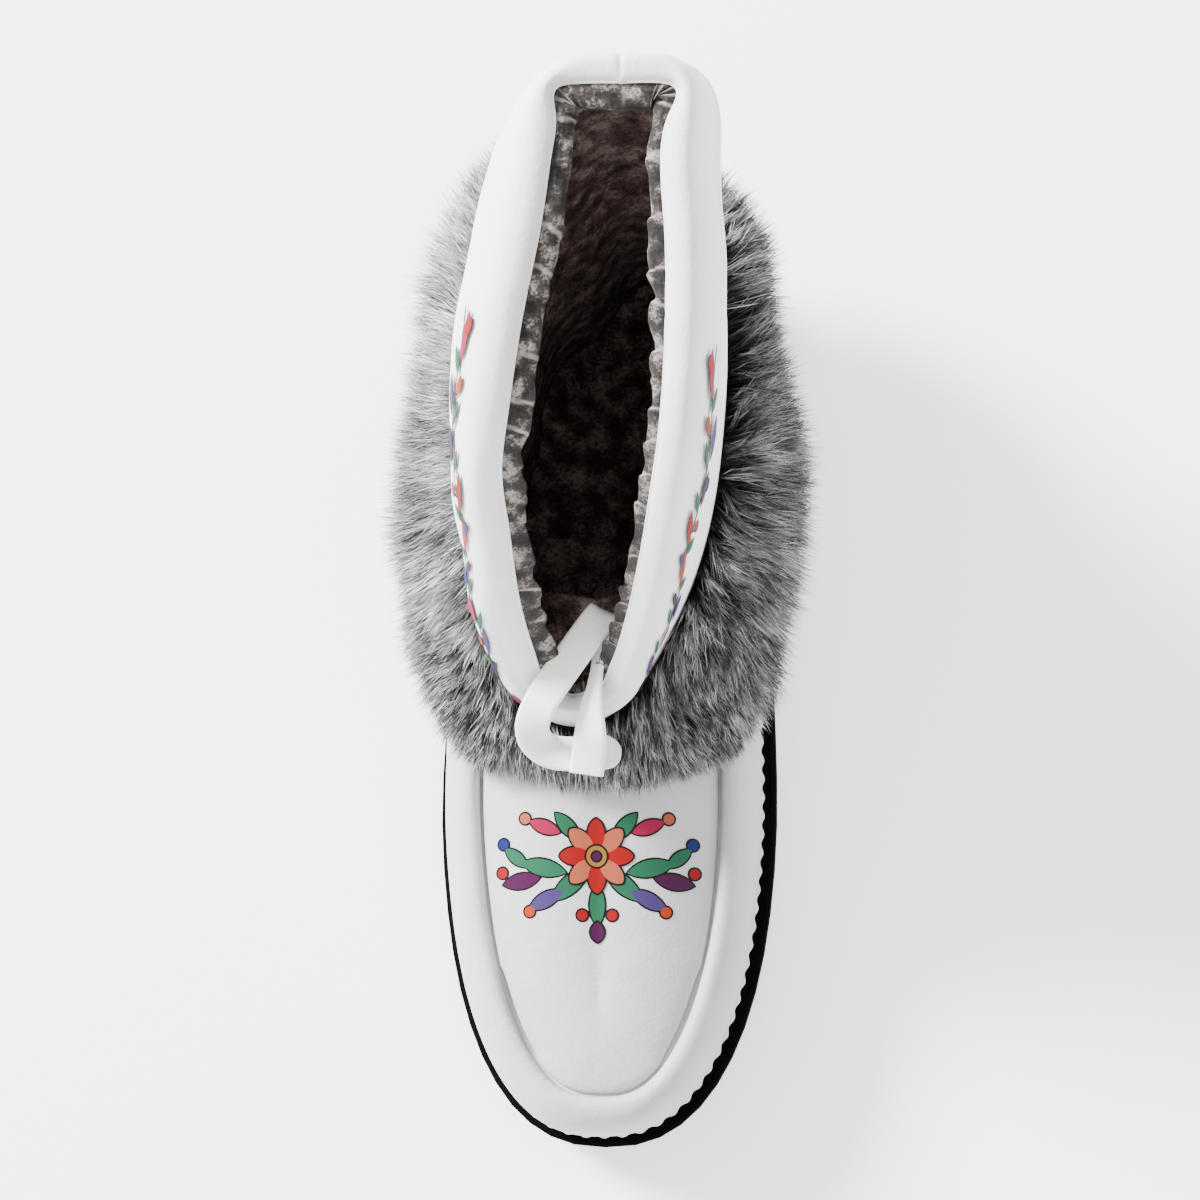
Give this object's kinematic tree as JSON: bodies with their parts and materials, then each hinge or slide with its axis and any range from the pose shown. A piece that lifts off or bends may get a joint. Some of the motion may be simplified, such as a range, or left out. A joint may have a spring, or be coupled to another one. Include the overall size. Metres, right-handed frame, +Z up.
{
  "type": "mukluk boot",
  "caption": "Right winter boot with a leather moccasin foot, open padded shaft, deep fur cuff, scalloped welt and rubber sole.",
  "frame": {"origin": "on the floor under the sole, half way along it", "axes": "+Z up, -Y towards the toe, +X towards the foot's inner side"},
  "size_m": [0.121, 0.3043, 0.2261],
  "materials": {
    "rubber": "matte black rubber",
    "welt": "smooth white edging",
    "leather": "soft white grained leather",
    "plush": "dark brown plush",
    "fur": "grey mottled long fur",
    "lace": "flat white felted lace"
  },
  "bodies": {
    "root": {"outsole": "rubber", "welt": "welt", "upper": "leather", "apron": "leather", "insole": "plush", "fur_cuff": "fur", "lace_bar": "lace", "lace_loop": "lace", "lace_end": "lace"}
  },
  "joints": []
}
